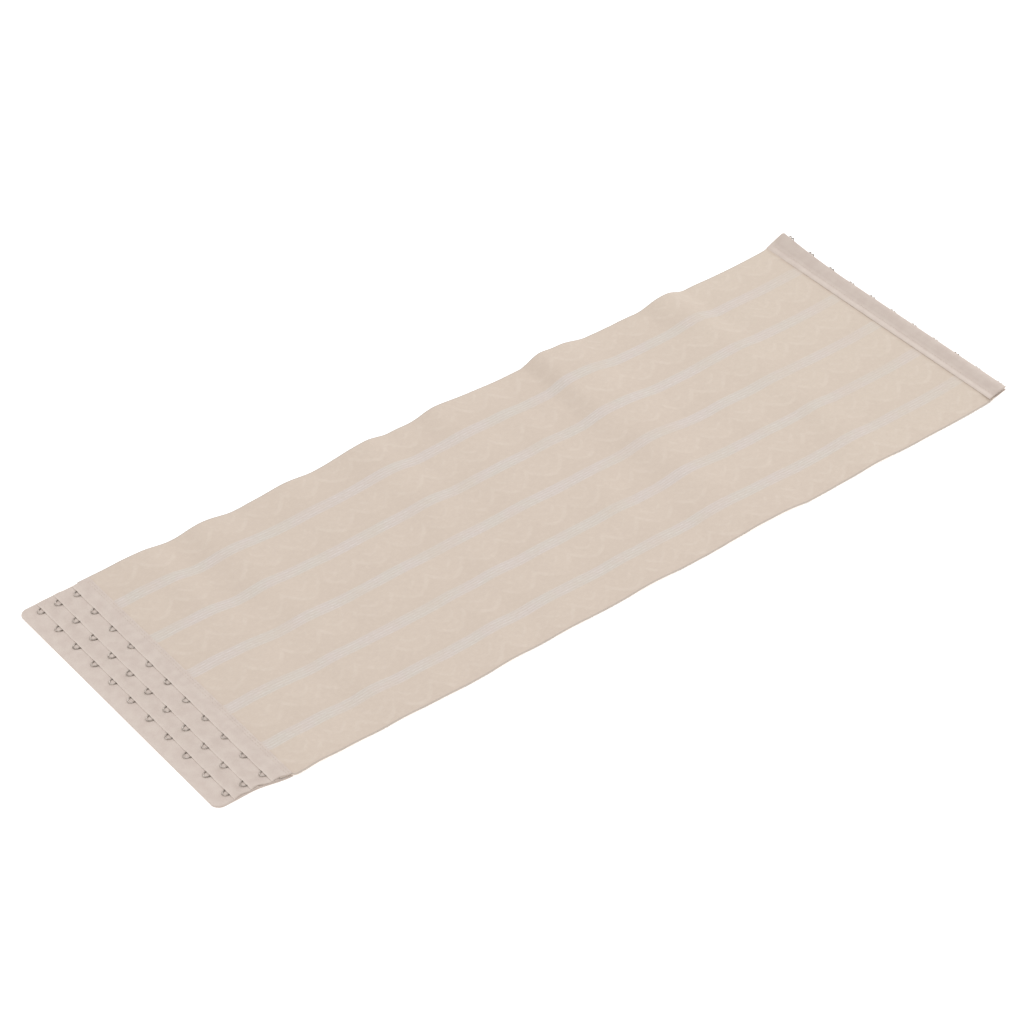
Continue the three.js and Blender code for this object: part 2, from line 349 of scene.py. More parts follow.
def keep_darkening(thing, darkening):
    """Keeps how much each vertex of a wire is darkened, from 0 to 1."""
    layer = thing.data.attributes.new("darkening", "FLOAT", "POINT")
    layer.data.foreach_set("value", darkening.astype(np.float32))


def tree_of(thing):
    mesh = thing.data
    return BVHTree.FromPolygons([v.co for v in mesh.vertices], [p.vertices for p in mesh.polygons])


def heights(tree, x, y, upward):
    """Height of a CAD surface over each (x, y) in millimetres, seen from below if upward."""
    start = -0.05 if upward else 0.05
    way = Vector((0, 0, 1 if upward else -1))
    found = np.full(x.shape, np.nan)
    for index in np.ndindex(x.shape):
        place = Vector((x[index] * MM + ORIGIN[0], y[index] * MM + ORIGIN[1], start))
        hit = tree.ray_cast(place, way)[0]
        if hit is not None:
            found[index] = hit.z / MM
    return found


def blurred(values, spread, axis):
    """A Gaussian blur with its spread in samples along one axis."""
    reach = int(3 * spread) + 1
    weights = np.exp(-0.5 * (np.arange(-reach, reach + 1) / spread) ** 2)
    weights /= weights.sum()
    padding = [(0, 0), (0, 0)]
    padding[axis] = (reach, reach)
    padded = np.pad(values, padding, mode="reflect", reflect_type="odd")
    return np.apply_along_axis(lambda line: np.convolve(line, weights, "valid"), axis, padded)


def edge_lines(low, high, radius, inner):
    """The inner grid lines, and lines that crowd towards both ends, where the cloth's edge is rounded."""
    near = [0.0, radius * 0.15, radius * 0.45, radius]
    middle = [v for v in inner if low + radius * 1.4 < v < high - radius * 1.4]
    return np.array([low + d for d in near] + middle + [high - d for d in reversed(near)])


def rounding(distance, radius):
    """How far a rounded edge has dropped at a distance in from the edge."""
    run = np.clip(1.0 - distance / radius, 0.0, 1.0)
    return radius * (1.0 - np.sqrt(1.0 - run**2))


# Panel
def stripe_distance(across):
    return (across - FIRST_STRIPE + STRIPE_PITCH / 2) % STRIPE_PITCH - STRIPE_PITCH / 2


def band_place(across):
    return (across - FIRST_STRIPE) % STRIPE_PITCH


def motif_lines(along, across):
    """How strongly a point lies on the scallops and garlands, from 0 to 1."""
    place = (along - SCALLOP_PHASE + SCALLOP_PITCH / 2) % SCALLOP_PITCH - SCALLOP_PITCH / 2
    band = band_place(across)
    total = 0.0
    for bottom, depth, width, power, line in (
        (SCALLOP_BOTTOM, SCALLOP_DEPTH, SCALLOP_PITCH, SCALLOP_POWER, SCALLOP_LINE),
        (GARLAND_BOTTOM, GARLAND_DEPTH, GARLAND_WIDTH, GARLAND_POWER, GARLAND_LINE),
    ):
        share = np.abs(2 * place / width)
        curve = bottom - depth * share**power
        slope = depth * power * 2 / width * share ** (power - 1)
        distance = np.abs(band - curve) / np.sqrt(1 + slope**2)
        inside = smooth((MOTIF_TIP - share) / (MOTIF_TIP - 1))
        total = np.maximum(total, smooth(line / 2 + MOTIF_SOFTNESS - distance) * inside)
    return total


def panel_relief(along, across):
    """Height of the woven pattern over the plain cloth, in millimetres."""
    off = np.abs(stripe_distance(across))
    stripe = smooth(STRIPE_WIDTH / 2 + STRIPE_EDGE - off)
    rib = 0.5 + 0.5 * np.cos(2 * math.pi * off / RIB_PITCH)
    return stripe * (STRIPE_RISE + RIB_RISE * rib) + MOTIF_RISE * motif_lines(along, across) * (1 - stripe)


def panel_across_lines():
    """Lines across the panel, close together in the stripes for their ribs, sparser in the bands."""
    fine, plain = 0.40, 1.7
    stripe_margin = 1.0
    ends = [0.0, 0.1, 0.3, 0.6]
    clear_of_ends, shift_reach = 0.8, 20
    trial = np.linspace(0, PANEL_WIDTH, 4000)
    off = np.abs(stripe_distance(PANEL_WIDTH - trial))
    density = np.where(off < STRIPE_WIDTH / 2 + stripe_margin, 1 / fine, 1 / plain)
    total = np.concatenate([[0], np.cumsum((density[1:] + density[:-1]) / 2)])
    inner_count = PANEL_STEPS_ACROSS + 1 - 2 * len(ends)
    inner = np.interp(np.linspace(0, total[-1], inner_count + 2)[1:-1], total, trial)
    places = [0, shift_reach, PANEL_WIDTH - shift_reach, PANEL_WIDTH]
    shift = np.interp(inner, places, [clear_of_ends, 0, 0, -clear_of_ends])
    return np.array(ends + list(inner + shift) + [PANEL_WIDTH - d for d in reversed(ends)])


def panel_place(x, y):
    """Where a point of the flat panel lies, from above: the hook end is sewn on slightly askew."""
    w = y / PANEL_WIDTH
    out = NEAR_EDGE_OUT
    for at, reach, far_out in NEAR_EDGE_WAVES:
        out = out + far_out * np.cos(np.clip((x - at) / reach, -1, 1) * math.pi / 2) ** 2
    under = 1 - smooth((x - EYE_TAPE_WIDTH + HIDDEN_END_FROM) / HIDDEN_END_REACH)
    near = (eye_tape_slant(x) + HIDDEN_END_IN) * under - out * (1 - under)
    skew = END_SKEW * (0.5 - w) * smooth((shown_share(x) - SKEW_FROM) / (1 - SKEW_FROM))
    narrowing = PANEL_NARROWING * smooth((shown_share(x) - NARROWING_FROM) / (1 - NARROWING_FROM))
    widening = EYE_END_WIDENING * (1 - smooth((x - EYE_TAPE_WIDTH) / EYE_END_SETTLE))
    return x + skew, near + w * (PANEL_WIDTH - EDGE_DRAW_IN - near + widening - narrowing)


def fold_height(x, across):
    """Height of the folds over the floor. A fold's flanks may differ in reach."""
    total = np.zeros_like(x)
    for at, left, right, far, near, reach in FOLDS:
        fade = np.clip(1.0 - across / reach, 0.0, 1.0)
        spread = 1.0 + FLANK_SPREAD * (1.0 - fade)
        run = np.clip(np.where(x < at, (at - x) / left, (x - at) / right) / spread, 0.0, 1.0)
        total += (near + (far - near) * fade) * np.cos(run * math.pi / 2) ** 2
    for at, where, reach, depth in CREASES:
        dx, dy = (x - at) / reach, (across - where) / (reach * 1.5)
        total += depth * dx * np.exp(0.5 - (dx**2 + dy**2) / 2)
    return total


def ripple_height(x, y):
    """The cloth's small waves, which never sink below the floor."""
    draw = random.Random(RIPPLE_SEED)
    total = np.zeros_like(x)
    for _ in range(RIPPLES):
        length = draw.uniform(*RIPPLE_LENGTHS)
        turn = draw.gauss(0, RIPPLE_TURN)
        start = draw.uniform(0, 2 * math.pi)
        total += np.sin(2 * math.pi / length * (x * math.cos(turn) + y * math.sin(turn)) + start)
    return RIPPLE_HEIGHT * (total + RIPPLE_LIFT)


def hook_end_height(along, across_lines):
    """The panel's underside at the hook tape, as the CAD panel has it."""
    spacing, from_end, from_side = 2.0, 0.1, 0.3
    tree = tree_of(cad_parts["panel"])
    coarse_x = np.arange(HOOK_END_FROM, SEAM + PANEL_TUCK - from_end, spacing)
    coarse_y = np.linspace(from_side, PANEL_WIDTH - from_side, int(PANEL_WIDTH / spacing) + 1)
    gx, gy = np.meshgrid(coarse_x, coarse_y)
    low = heights(tree, *panel_place(gx, gy), True)
    low = blurred(blurred(np.where(np.isnan(low), 0.0, low), 1.5, 1), 2.5, 0)
    by_x = np.stack([np.interp(along, coarse_x, line) for line in low])
    return np.stack([np.interp(across_lines, coarse_y, line) for line in by_x.T], 1)


def panel_underside(along, across_lines):
    x, y = np.meshgrid(along, across_lines)
    from_base = BASE_THICKNESS + TOUCH
    free = smooth((x - EYE_TAPE_WIDTH) / FOLD_FADE)
    plain = from_base * (1 - rise(x, EYE_TAPE_WIDTH + 1, BASE_STEP_REACH))
    plain += free * (fold_height(x, PANEL_WIDTH - y) + ripple_height(x, y))
    to_hooks = smooth((x - HOOK_END_FROM) / HOOK_END_BLEND)
    return np.maximum(plain * (1 - to_hooks) + hook_end_height(along, across_lines) * to_hooks, 0.0)


def make_panel():
    along = np.linspace(EYE_TAPE_WIDTH - PANEL_UNDER_FLAP, SEAM + PANEL_TUCK, PANEL_STEPS_ALONG + 1)
    across = panel_across_lines()
    height = panel_underside(along, across)
    x, y = np.meshgrid(along, across)
    px, py = panel_place(x, y)
    from_edge = np.minimum(y, PANEL_WIDTH - y)
    drop = rounding(from_edge, PANEL_THICKNESS / 2)
    free = smooth(np.minimum(x - EYE_TAPE_WIDTH, SEAM - x) / RELIEF_FADE)
    relief = panel_relief(x, PANEL_WIDTH - y) * (RELIEF_AT_ENDS + (1 - RELIEF_AT_ENDS) * free)
    relief = relief * smooth(from_edge / RELIEF_FROM_EDGE)
    top = row_frame(px, py, height + PANEL_THICKNESS - drop + relief)
    k = UNDERSIDE_COARSER
    under = row_frame(px, py, height + drop)[::k, ::k]
    thing = closed_sheet("panel_cloth", top, under, k)
    flat = np.stack([x, PANEL_WIDTH - y, np.zeros_like(x)], -1)
    keep_cloth_place(thing, np.concatenate([flat.reshape(-1, 3), flat[::k, ::k].reshape(-1, 3)]))
    return thing


# Tapes
def inner_lines(low, high, pitch):
    return list(np.linspace(low, high, int((high - low) / pitch) + 1))


def tape_piece(name, u, v, place, high, low, radius, pale):
    """A tape layer with rounded edges from the heights of its two faces over its own plan. The third
    number that its cloth keeps is pale: over 0 where the cloth is painted paler, as with the painted
    highlights on folds, under 0 where shade is painted, as at its near end."""
    from_edge = np.minimum(np.minimum(u - u.min(), u.max() - u), np.minimum(v - v.min(), v.max() - v))
    drop = rounding(from_edge, radius) * np.minimum(1.0, EDGE_SHARE * (high - low) / radius)
    x, y = place(u, v)
    thing = closed_sheet(name, row_frame(x, y, high - drop), row_frame(x, y, low + drop))
    # Painted shade along the layer's near end
    pale = pale - NEAR_END_SHADE * (1 - rise(v, v.min(), NEAR_END_REACH))
    flat = np.stack([u, v, pale], -1).reshape(-1, 3)
    keep_cloth_place(thing, np.concatenate([flat, flat]))
    return thing


class Pile:
    """The height of what lies on the eye tape, on a fine grid, as each layer is laid on the last."""

    def __init__(self, x_high, y_low, y_high):
        self.x = np.arange(0, x_high + DRAPE_STEP, DRAPE_STEP)
        self.y = np.arange(y_low, y_high + DRAPE_STEP, DRAPE_STEP)
        self.height = np.zeros((len(self.y), len(self.x)))

    def at(self, x, y):
        """Heights over any places, between the grid's points."""
        i = np.clip((x - self.x[0]) / DRAPE_STEP, 0, len(self.x) - 1.001)
        j = np.clip((y - self.y[0]) / DRAPE_STEP, 0, len(self.y) - 1.001)
        i0, j0 = np.floor(i).astype(int), np.floor(j).astype(int)
        fi, fj = i - i0, j - j0
        h = self.height
        low = h[j0, i0] * (1 - fi) + h[j0, i0 + 1] * fi
        high = h[j0 + 1, i0] * (1 - fi) + h[j0 + 1, i0 + 1] * fi
        return low * (1 - fj) + high * fj

    def drape(self, start, end, stiffness):
        """Lays a cloth over x from start to end: it touches the high points and bridges close to them."""
        plan = (self.x >= start - DRAPE_STEP) & (self.x <= end + DRAPE_STEP)
        part = self.height[:, plan]
        cloth = part
        for _ in range(DRAPE_ROUNDS):
            cloth = np.maximum(blurred(blurred(cloth, stiffness, 0), stiffness, 1), part)
        cloth = blurred(blurred(cloth, 1.0, 0), 1.0, 1) + TOUCH
        return plan, cloth

    def raise_to(self, plan, height):
        self.height[:, plan] = np.maximum(self.height[:, plan], height)


def on_eye_tape(near_inset, far_inset, corner=0.0, lip=None):
    """Where a point of a layer of the eye tape lies. The tape's near end slants out to the panel's near
    edge. A flap's lip leans a little, and its near end bows in."""

    def place(u, v):
        run = np.minimum(u / corner, 1.0) if corner else 1.0
        inset = corner * (1 - np.sqrt(1 - (1 - run) ** 2))
        near = eye_tape_slant(u) + near_inset + inset
        far = EYE_TAPE_FAR - far_inset - inset
        share = (v - EYE_TAPE_NEAR) / (EYE_TAPE_FAR - EYE_TAPE_NEAR)
        if lip is None:
            return u, near + share * (far - near)
        near = near + BOW_IN * bell(u - lip, BOW_AT, BOW_REACH)
        lean = LIP_LEAN * (share - 0.5) * (1 - rise(u, lip, LIP_LEAN_REACH))
        return u + lean, near + share * (far - near)

    return place


def make_eye_base():
    pitch_across, pitch_along = 1.2, 1.6
    v_inner = inner_lines(EYE_TAPE_NEAR, EYE_TAPE_FAR, pitch_along)
    u_lines = edge_lines(0.0, EYE_TAPE_WIDTH, BASE_EDGE, inner_lines(0, EYE_TAPE_WIDTH, pitch_across))
    v_lines = edge_lines(EYE_TAPE_NEAR, EYE_TAPE_FAR, BASE_EDGE, v_inner)
    u, v = np.meshgrid(u_lines, v_lines)
    high, low = np.full_like(u, BASE_THICKNESS), np.zeros_like(u)
    place = on_eye_tape(0.0, 0.0, BASE_CORNER)
    pale_edge = 0.3 * bell(u, 0.0, 2.5)
    return tape_piece("eye_tape_base_cloth", u, v, place, high, low, BASE_EDGE, pale_edge)


def flap_relief(column, from_lip, dimples):
    """How much thicker a flap is than plain: pressed thin at its lip, with a small roll, and dimpled."""
    roll = LIP_RISE * bell(from_lip, LIP_RISE_AT, LIP_RISE_AT)
    pressed = LIP_PRESSED[column] * (1 - smooth(from_lip / LIP_PRESSED_REACH))
    return roll - pressed - DIMPLE_DEPTH * dimples


def flap_shade(column, from_lip, dimples):
    """How pale a flap is: a highlight is painted on its folded lip, and shade is painted in the hollow by
    the next eyes and in the dimples.
    """
    lip_highlight = 0.35 * bell(from_lip, 0.6, 0.7) + 0.9 * bell(from_lip, 0.1, 0.3)
    hollow = 0.2 * bell(from_lip, 6.0, 4.0) if column != "inner" else 0.0
    return lip_highlight - hollow - 0.2 * dimples


def make_flap(column, pile):
    """A flap that lies over its eyes' legs and the layers below, with its folded lip towards the eyes."""
    pitch_across, pitch_along = 0.7, 0.8
    node = "eye_flap_" + column
    low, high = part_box(node)
    start, end = (low.x - ORIGIN[0]) / MM + LIP_SHIFT[column], (high.x - ORIGIN[0]) / MM
    plan, cloth = pile.drape(start, end, FLAP_STIFFNESS)
    settled = Pile(EYE_TAPE_WIDTH, 0.0, EYE_TAPE_FAR)
    settled.height[:, plan] = cloth
    radius = (FLAP_THICKNESS - LIP_PRESSED[column]) * EDGE_SHARE
    v_inner = inner_lines(EYE_TAPE_NEAR, EYE_TAPE_FAR, pitch_along)
    u_lines = edge_lines(start, end, radius, inner_lines(start, end, pitch_across))
    v_lines = edge_lines(EYE_TAPE_NEAR, EYE_TAPE_FAR, radius, v_inner)
    u, v = np.meshgrid(u_lines, v_lines)
    place = on_eye_tape(*FLAP_INSETS[column], lip=start)
    x, y = place(u, v)
    under = settled.at(x, y)
    dimples = np.zeros_like(u)
    for row in range(1, ROWS + 1):
        eye_low, eye_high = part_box(f"eye_{column}_{row:02d}")
        eye_y = ((eye_low.y + eye_high.y) / 2 - ORIGIN[1]) / MM
        dimples += bell(u - start, DIMPLE_IN, DIMPLE_REACH) * bell(y, eye_y, DIMPLE_REACH)
    top = under + FLAP_THICKNESS + flap_relief(column, u - start, dimples)
    pale = flap_shade(column, u - start, dimples)
    thing = tape_piece(node + "_cloth", u, v, place, top, under, radius, pale)
    pile.raise_to(plan, cloth + FLAP_THICKNESS)
    return thing


def hook_tape_shade(u, v):
    """How pale the top layer is: a highlight painted on the fold, with a little painted shade just past
    it, and on a strip along the seam, painted shade on the body, where the tape tilts up, and painted
    light on the outer part that grows towards the near end, where the tape lies flatter."""
    nearness = 1 - v / hook_tape_far()
    fold = 0.8 * bell(u, 0.0, 0.35) - 0.2 * bell(u, 0.9, 0.5)
    strip = (0.25 + 0.45 * nearness) * rise(u, 0.2, 1.2) * (1 - rise(u, 1.4, 2.6))
    outer = (0.2 + 0.8 * nearness) * rise(u, 9.0, 5.0)
    body = 0.5 * rise(u, 2.6, 3.4) * (1 - outer)
    near_end = nearness * (0.35 * rise(u, 10.0, 4.5) + 0.4 * rise(u, HOOK_TAPE_WIDTH - 1.5, 1.0))
    return fold + strip - body + near_end


def make_hook_tape(node, radius):
    """A layer of the hook tape, its faces taken from the CAD node."""
    pitch_across, pitch_along = 0.5, 1.4
    inset = 0.05
    tree = tree_of(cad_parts[node])
    u_lines = edge_lines(0.0, HOOK_TAPE_WIDTH, radius, inner_lines(0, HOOK_TAPE_WIDTH, pitch_across))
    v_lines = edge_lines(0.0, hook_tape_far(), radius, inner_lines(0, hook_tape_far(), pitch_along))
    u, v = np.meshgrid(u_lines, v_lines)
    safe_u = np.clip(u * HOOK_TAPE_CAD_WIDTH / HOOK_TAPE_WIDTH, inset, HOOK_TAPE_CAD_WIDTH - inset)
    safe_v = np.clip(v, inset, hook_tape_far() - inset)
    x, y = seam_x(safe_v) + safe_u, safe_v
    faces = []
    for upward in (False, True):
        values = heights(tree, x, y, upward)
        values[np.isnan(values)] = np.nanmedian(values)
        faces.append(blurred(values, 1.0, 1))
    high, low = faces
    pale = np.zeros_like(u)
    if node == "hook_tape_top":
        sink = 1 - smooth(u / LIP_SINK_REACH)
        high, low = high - LIP_SINK * sink, low - LIP_SINK_UNDER * sink
        pale = hook_tape_shade(u, v)
    return tape_piece(node + "_cloth", u, v, on_hook_tape, high, low, radius, pale)


def hook_tape_far():
    return PANEL_WIDTH - PANEL_NARROWING


def seam_x(v):
    return SEAM + END_SKEW * (0.5 - v / hook_tape_far())


def on_hook_tape(u, v):
    """Where a point of the hook tape lies. Its near end slants in towards its rounded outer corner."""
    run = np.clip((HOOK_TAPE_WIDTH - u) / OUTER_CORNER, 0.0, 1.0)
    inset = OUTER_CORNER * (1 - np.sqrt(1 - (1 - run) ** 2))
    at_seam = HOOK_TAPE_SLANT_AT_SEAM
    slant = HOOK_TAPE_SLANT * (at_seam + (1 - at_seam) * u / HOOK_TAPE_WIDTH)
    return seam_x(v) + u, v * (1 - inset / hook_tape_far()) + slant * np.exp(-v / HOOK_TAPE_SLANT_FADE)


# Wires
def tube(points, radius, sides):
    """Vertices and faces of a round wire with domed ends along a smooth line of points."""
    points = np.asarray(points, float)
    along = np.gradient(points, axis=0)
    along /= np.linalg.norm(along, axis=1)[:, None]
    side = np.cross(along[0], [0.0, 0.31, 0.95])
    side /= np.linalg.norm(side)
    sections = []
    for point, way in zip(points, along):
        side = side - way * side.dot(way)
        side /= np.linalg.norm(side)
        sections.append((point, side, np.cross(way, side), radius))
    domes = [(0.25, 0.97), (0.7, 0.71), (0.95, 0.31)]
    first, last = sections[0], sections[-1]
    head = [(first[0] - along[0] * radius * d, first[1], first[2], radius * r) for d, r in reversed(domes)]
    tail = [(last[0] + along[-1] * radius * d, last[1], last[2], radius * r) for d, r in domes]
    sections = head + sections + tail
    angles = 2 * math.pi * np.arange(sides)[:, None] / sides
    rings = [p + r * (np.cos(angles) * s + np.sin(angles) * o) for p, s, o, r in sections]
    vertices = np.concatenate(rings)
    faces = []
    for i in range(len(rings) - 1):
        for k in range(sides):
            a, b = i * sides + k, i * sides + (k + 1) % sides
            faces.append((a, b, b + sides, a + sides))
    faces.append(tuple(reversed(range(sides))))
    faces.append(tuple(len(vertices) - sides + k for k in range(sides)))
    return vertices, faces


def joined(name, parts):
    """One object from a list of (vertices, faces)."""
    vertices, faces, start = [], [], 0
    for part_vertices, part_faces in parts:
        vertices.append(part_vertices)
        faces += [tuple(start + i for i in face) for face in part_faces]
        start += len(part_vertices)
    return new_object(name, np.concatenate(vertices), faces)


def rounded(points, steps):
    """A smooth line through a few points (Catmull-Rom), so that bends are round."""
    points = np.asarray(points, float)
    ends = np.concatenate([[2 * points[0] - points[1]], points, [2 * points[-1] - points[-2]]])
    out = []
    for i in range(1, len(ends) - 2):
        a, b, c, d = ends[i - 1 : i + 3]
        for t in np.linspace(0, 1, steps, endpoint=False):
            square, cube = 2 * a - 5 * b + 4 * c - d, 3 * b - a - 3 * c + d
            out.append(0.5 * (2 * b + (c - a) * t + square * t**2 + cube * t**3))
    out.append(points[-1])
    return np.array(out)


def eye_line(column, row, pile, draw):
    """The middle line of an eye: two legs under the flap and an arch that stands out from its lip. No two
    eyes are sewn on quite alike."""
    low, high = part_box(f"eye_{column}_{row:02d}")
    inward, upward = EYE_SHIFT[column]
    scatter_in, scatter_up, scatter_turn = EYE_SCATTER
    spring = (low.x - ORIGIN[0]) / MM + LIP_FROM_APEX + inward + draw.gauss(0, scatter_in)
    y = ((low.y + high.y) / 2 - ORIGIN[1]) / MM + upward + draw.gauss(0, scatter_up)
    turn = draw.gauss(0, scatter_turn)
    half = ((high.y - low.y) / MM / 2 - EYE_WIRE / 2) * EYE_NARROWING
    reach = EYE_REACH - EYE_WIRE / 2
    apex = spring - reach
    halfway, at_end = half * LEG_SPREAD_HALFWAY, half * LEG_SPREAD_END
    line = [(spring + EYE_LEGS, y - at_end), (spring + EYE_LEGS / 2, y - halfway)]
    for angle in np.radians(np.linspace(-90, 90, EYE_ARCH_POINTS)):
        flare = 1 - EYE_FLARE * math.cos(angle)
        line.append((spring - reach * math.cos(angle), y + half * math.sin(angle) * flare))
    line += [(spring + EYE_LEGS / 2, y + halfway), (spring + EYE_LEGS, y + at_end)]
    turning = np.array([[math.cos(turn), math.sin(turn)], [-math.sin(turn), math.cos(turn)]])
    points = (np.array(line) - (spring, y)) @ turning + (spring, y)
    z = pile.at(np.array([apex + 1.0]), np.array([y]))[0] + EYE_WIRE / 2 + TOUCH / 2
    lip = spring - inward + LIP_SHIFT[column]
    sunk = LEGS_SINK * rise(points[:, 0], lip - LEGS_SINK_BEFORE, LEGS_SINK_REACH)
    return rounded(np.column_stack([points, z - sunk]), 4)


def lay_eyes(column, pile):
    """The wires of a column of eyes, laid on the pile, which then holds their legs too, and how much each
    of their vertices is darkened: the wire is bright at the arch, and shade is painted where it goes under
    the lip."""
    wires, darkening = [], []
    gx, gy = np.meshgrid(pile.x, pile.y)
    draw = random.Random(f"eyes {column}")
    for row in range(1, ROWS + 1):
        line = eye_line(column, row, pile, draw)
        wires.append(tube(row_frame(line[:, 0], line[:, 1], line[:, 2]), EYE_WIRE / 2 * MM, WIRE_SIDES))
        apex = line[:, 0].min()
        darkening.append(rise((wires[-1][0][:, 0] - ORIGIN[0]) / MM, apex + DARKENING_FROM, DARKENING_REACH))
        near = np.abs(gy - line[:, 1].mean()) < EYE_SURROUND
        for x, y, z in line:
            under = np.hypot(gx[near] - x, gy[near] - y)
            bump = z + np.sqrt(np.clip((EYE_WIRE / 2) ** 2 - under**2, 0, None))
            lifted = np.where(under < EYE_WIRE / 2 + WIRE_MARGIN, bump, 0)
            pile.height[near] = np.maximum(pile.height[near], lifted)
    return wires, darkening


def hook_wire(row):
    """A hook: one wire doubled, with its shank on the tape, a bend past its edge and a bill under it."""
    low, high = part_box(f"hook_{row:02d}")
    y = ((low.y + high.y) / 2 - ORIGIN[1]) / MM
    w = y / hook_tape_far()
    corner = CORNER_LIFT * max(0.0, (w - CORNER_LIFT_FROM) / (1 - CORNER_LIFT_FROM)) ** 2
    stand = HOOK_CAD_WIRE + BILL_GAP
    edge = seam_x(y) + HOOK_TAPE_WIDTH
    slope = (stand + corner) / HOOK_TAPE_WIDTH
    closing = stand / HOOK_TAPE_WIDTH
    shank_z = HOOK_TAPE_THICKNESS + GAP + HOOK_CAD_WIRE / 2
    bill_z = -(BILL_GAP + HOOK_CAD_WIRE / 2)
    bend = (shank_z - bill_z) / 2
    half = HOOK_WIRE_SPACING / 2

    def on_tape(out, side, up):
        return (edge + out, y + side, stand + corner + out * slope + up)

    def strand(side):
        line = [on_tape(-back, side, shank_z) for back in (SHANK, SHANK / 2, SHANK_END)]
        for angle in np.linspace(0, math.pi, BEND_POINTS):
            out = BEND_CLEARANCE[row - 1] + bend * math.sin(angle)
            line.append(on_tape(out, side, bill_z + bend + bend * math.cos(angle)))
        line += [on_tape(-back, side, bill_z + back * closing) for back in (BILL_START, BILL)]
        return line

    tip = []
    for angle in np.linspace(0, math.pi, BILL_TIP_POINTS)[1:-1]:
        reach = BILL + half * math.sin(angle)
        tip.append(on_tape(-reach, half * math.cos(angle), bill_z + reach * closing))
    line = strand(half) + tip + strand(-half)[::-1]
    points = np.array(line)
    line = rounded(row_frame(points[:, 0], points[:, 1], points[:, 2]), 3)
    return tube(line, HOOK_WIRE * MM / 2, WIRE_SIDES)


# Stitches
def stitch_row(start, end, radius, tree):
    """Thread stitches from start to end, each dipping into the cloth at its two ends."""
    start, end = np.array(start), np.array(end)
    run = np.linalg.norm(end - start)
    way = (end - start) / run
    parts = []
    for k in range(int(run / STITCH_PITCH)):
        middle = start + way * STITCH_PITCH * (k + 0.5)
        z = heights(tree, middle[:1], middle[1:], False)[0]
        line = []
        for t in np.linspace(-1, 1, STITCH_POINTS):
            at = middle + way * t * STITCH_LENGTH / 2
            line.append((at[0], at[1], z + radius * (STITCH_TOP - STITCH_DIP * t**4)))
        points = np.array(line)
        parts.append(tube(row_frame(points[:, 0], points[:, 1], points[:, 2]), radius * MM, THREAD_SIDES))
    return parts


# Materials
class Number:
    """A number in a material's node tree. Sums and products of numbers become Math nodes."""

    def __init__(self, tree, value):
        self.tree, self.value = tree, value

    def made(self, operation, *others):
        node = self.tree.nodes.new("ShaderNodeMath")
        node.operation = operation
        for socket, given in zip(node.inputs, (self, *others)):
            given = given.value if isinstance(given, Number) else given
            if isinstance(given, (int, float)):
                socket.default_value = given
            else:
                self.tree.links.new(given, socket)
        return Number(self.tree, node.outputs[0])

    def __add__(self, other):
        return self.made("ADD", other)

    def __sub__(self, other):
        return self.made("SUBTRACT", other)

    def __rsub__(self, other):
        return Number(self.tree, other).made("SUBTRACT", self)

    def __mul__(self, other):
        return self.made("MULTIPLY", other)

    def __truediv__(self, other):
        return self.made("DIVIDE", other)

    def __pow__(self, other):
        return self.made("POWER", other)

    def __abs__(self):
        return self.made("ABSOLUTE")

    __radd__ = __add__
    __rmul__ = __mul__

    def wrapped(self, period):
        """The number's place in a period, from 0 up to the period."""
        return self.made("FLOORED_MODULO", period)

    def ramp(self, low, high):
        """0 up to low and 1 from high, smoothly between them. It falls where low is over high."""
        node = self.tree.nodes.new("ShaderNodeMapRange")
        node.interpolation_type = "SMOOTHSTEP"
        rising = low < high
        for name, given in (
            ("From Min", min(low, high)),
            ("From Max", max(low, high)),
            ("To Min", 0.0 if rising else 1.0),
            ("To Max", 1.0 if rising else 0.0),
        ):
            node.inputs[name].default_value = given
        self.tree.links.new(self.value, node.inputs["Value"])
        return Number(self.tree, node.outputs["Result"])

    def wave(self, period):
        """A cosine from 0 to 1 and back in each period, 1 at zero."""
        return (self * (2 * math.pi / period)).made("COSINE") * 0.5 + 0.5

    def most(self, other):
        return self.made("MAXIMUM", other)


